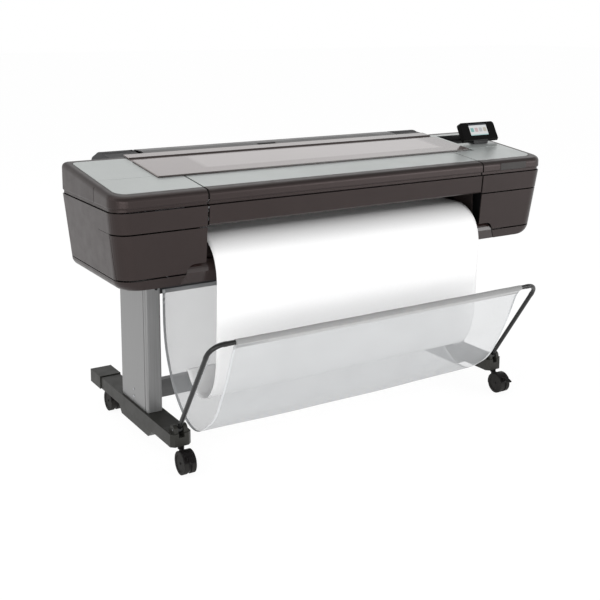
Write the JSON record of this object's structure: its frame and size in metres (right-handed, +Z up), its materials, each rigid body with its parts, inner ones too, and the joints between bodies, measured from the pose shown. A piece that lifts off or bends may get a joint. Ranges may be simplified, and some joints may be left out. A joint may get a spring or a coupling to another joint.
{
  "type": "large format plotter",
  "caption": "Floor-standing wide inkjet plotter on a wheeled stand, with tilting screen, ink doors, roll feed and a folding print basket.",
  "frame": {"origin": "on the floor under the middle of the whole machine's bounding box", "axes": "+X to the right end seen from the front, +Y to the back, +Z up"},
  "size_m": [1.802, 0.9492, 1.0384],
  "materials": {
    "body_plastic": "satin, fine texture",
    "silver": "satin metallic",
    "window": "smoked gloss",
    "apron": "gloss",
    "inner_plastic": "matt",
    "hood": "satin",
    "steel": "brushed",
    "bearing": "sintered",
    "rubber": "matt",
    "paper": "matt",
    "leg": "anodised",
    "foot": "satin",
    "beam": "satin",
    "tube": "gloss",
    "mesh": "open mesh",
    "caster": "satin",
    "tread": "matt",
    "screen": "gloss",
    "spindle": "satin"
  },
  "bodies": {
    "root": {"chassis": "steel", "left_end_shell": "body_plastic", "right_end_shell": "body_plastic", "bottom_skirts": "body_plastic", "top_covers": "body_plastic", "silver_panels": "silver", "nameplate": "silver", "front_cover": "body_plastic", "front_beam": "body_plastic", "output_apron": "apron", "platen": "inner_plastic", "rear_top_panel": "window", "rear_lower_cover": "body_plastic", "roll_supports": "inner_plastic", "ink_bays": "inner_plastic", "ink_cartridges": "inner_plastic", "service_station": "inner_plastic", "electronics_box": "steel", "motors": "inner_plastic", "carriage_rails": "steel", "drive_belt": "rubber", "paper_sheet": "paper", "screen_base": "inner_plastic", "power_inlet": "inner_plastic", "legs": "leg", "feet": "foot", "foot_caps": "foot", "lower_crossbar": "leg", "upper_crossbeam": "beam", "basket_pins": "steel", "basket_rear_mesh": "mesh", "screws": "steel"},
    "window": {"window": "window"},
    "roll_cover": {"roll_cover": "hood"},
    "left_door": {"left_ink_door": "body_plastic"},
    "right_door": {"right_ink_door": "body_plastic"},
    "carriage": {"carriage": "inner_plastic", "carriage_bushings": "bearing", "printheads": "inner_plastic"},
    "drive_pulley": {"drive_pulley": "steel"},
    "idler_pulley": {"idler_pulley": "steel"},
    "feed_roller": {"feed_roller": "rubber"},
    "pinch_rollers": {"pinch_rollers": "rubber"},
    "spindle": {"spindle": "spindle", "paper_roll": "paper"},
    "touchscreen": {"touchscreen": "screen"},
    "power_button": {"power_button": "inner_plastic"},
    "power_switch": {"power_switch": "inner_plastic"},
    "basket": {"basket_frame": "tube", "basket_front_mesh": "mesh"},
    "caster_fl_swivel": {"caster_fl_housing": "caster"},
    "caster_fl_wheels": {"caster_fl_wheels": "tread"},
    "caster_fl_brake": {"caster_fl_brake": "caster"},
    "caster_fr_swivel": {"caster_fr_housing": "caster"},
    "caster_fr_wheels": {"caster_fr_wheels": "tread"},
    "caster_fr_brake": {"caster_fr_brake": "caster"},
    "caster_rl_swivel": {"caster_rl_housing": "caster"},
    "caster_rl_wheels": {"caster_rl_wheels": "tread"},
    "caster_rr_swivel": {"caster_rr_housing": "caster"},
    "caster_rr_wheels": {"caster_rr_wheels": "tread"}
  },
  "joints": [
    {"name": "window_hinge", "type": "hinge", "parent": "root", "child": "window", "pos_m": [0, 0.14259, 0.96196], "axis": [-1, 0, 0], "range_deg": [0, 70]},
    {"name": "roll_cover_hinge", "type": "hinge", "parent": "root", "child": "roll_cover", "pos_m": [0, 0.22759, 0.961], "axis": [1, 0, 0], "range_deg": [0, 70]},
    {"name": "left_door_hinge", "type": "hinge", "parent": "root", "child": "left_door", "pos_m": [-0.74, -0.24141, 0.6565], "axis": [1, 0, 0], "range_deg": [0, 75]},
    {"name": "right_door_hinge", "type": "hinge", "parent": "root", "child": "right_door", "pos_m": [0.74, -0.24141, 0.6565], "axis": [1, 0, 0], "range_deg": [0, 75]},
    {"name": "carriage_slide", "type": "slide", "parent": "root", "child": "carriage", "axis": [1, 0, 0], "range_m": [-1.4, 0]},
    {"name": "drive_pulley_spin", "type": "hinge", "parent": "root", "child": "drive_pulley", "pos_m": [0.812, 0.06959, 0.842], "axis": [0, 1, 0], "continuous": true},
    {"name": "idler_pulley_spin", "type": "hinge", "parent": "root", "child": "idler_pulley", "pos_m": [-0.812, 0.06959, 0.842], "axis": [0, 1, 0], "continuous": true},
    {"name": "feed_roller_spin", "type": "hinge", "parent": "root", "child": "feed_roller", "pos_m": [0, 0.07959, 0.742], "axis": [1, 0, 0], "continuous": true},
    {"name": "pinch_roller_spin", "type": "hinge", "parent": "root", "child": "pinch_rollers", "pos_m": [0, 0.07959, 0.7671], "axis": [1, 0, 0], "continuous": true},
    {"name": "roll_spin", "type": "hinge", "parent": "root", "child": "spindle", "pos_m": [0, 0.32659, 0.868], "axis": [1, 0, 0], "continuous": true},
    {"name": "screen_tilt", "type": "hinge", "parent": "root", "child": "touchscreen", "pos_m": [0.8, 0.00259, 0.96866], "axis": [1, 0, 0], "range_deg": [-40, 25]},
    {"name": "power_button_press", "type": "slide", "parent": "touchscreen", "child": "power_button", "axis": [1, 0, 0], "range_m": [-0.0018, 0], "stiffness_N_per_m": 300},
    {"name": "power_switch_rock", "type": "hinge", "parent": "root", "child": "power_switch", "pos_m": [0.786, 0.21509, 0.705], "axis": [1, 0, 0], "range_deg": [-12, 0]},
    {"name": "basket_fold", "type": "hinge", "parent": "root", "child": "basket", "pos_m": [0, -0.23141, 0.134], "axis": [-1, 0, 0], "range_deg": [0, 20]},
    {"name": "caster_fl_swivel", "type": "hinge", "parent": "root", "child": "caster_fl_swivel", "pos_m": [-0.683, -0.24441, 0.08], "axis": [0, 0, 1], "continuous": true},
    {"name": "caster_fl_roll", "type": "hinge", "parent": "caster_fl_swivel", "child": "caster_fl_wheels", "pos_m": [-0.683, -0.27941, 0.0375], "axis": [1, 0, 0], "continuous": true},
    {"name": "caster_fl_brake_press", "type": "hinge", "parent": "caster_fl_swivel", "child": "caster_fl_brake", "pos_m": [-0.683, -0.31541, 0.066], "axis": [1, 0, 0], "range_deg": [0, 12]},
    {"name": "caster_fr_swivel", "type": "hinge", "parent": "root", "child": "caster_fr_swivel", "pos_m": [0.683, -0.24441, 0.08], "axis": [0, 0, 1], "continuous": true},
    {"name": "caster_fr_roll", "type": "hinge", "parent": "caster_fr_swivel", "child": "caster_fr_wheels", "pos_m": [0.683, -0.27941, 0.0375], "axis": [1, 0, 0], "continuous": true},
    {"name": "caster_fr_brake_press", "type": "hinge", "parent": "caster_fr_swivel", "child": "caster_fr_brake", "pos_m": [0.683, -0.31541, 0.066], "axis": [1, 0, 0], "range_deg": [0, 12]},
    {"name": "caster_rl_swivel", "type": "hinge", "parent": "root", "child": "caster_rl_swivel", "pos_m": [-0.683, 0.38659, 0.08], "axis": [0, 0, 1], "continuous": true},
    {"name": "caster_rl_roll", "type": "hinge", "parent": "caster_rl_swivel", "child": "caster_rl_wheels", "pos_m": [-0.683, 0.35159, 0.0375], "axis": [1, 0, 0], "continuous": true},
    {"name": "caster_rr_swivel", "type": "hinge", "parent": "root", "child": "caster_rr_swivel", "pos_m": [0.683, 0.38659, 0.08], "axis": [0, 0, 1], "continuous": true},
    {"name": "caster_rr_roll", "type": "hinge", "parent": "caster_rr_swivel", "child": "caster_rr_wheels", "pos_m": [0.683, 0.35159, 0.0375], "axis": [1, 0, 0], "continuous": true}
  ],
  "couplings": [
    {"joint": "drive_pulley_spin", "follows": "carriage_slide", "rad_per_m": 65.36},
    {"joint": "idler_pulley_spin", "follows": "carriage_slide", "rad_per_m": 65.36},
    {"joint": "pinch_roller_spin", "follows": "feed_roller_spin", "ratio": -1.9375},
    {"joint": "roll_spin", "follows": "feed_roller_spin", "ratio": -0.27679}
  ]
}
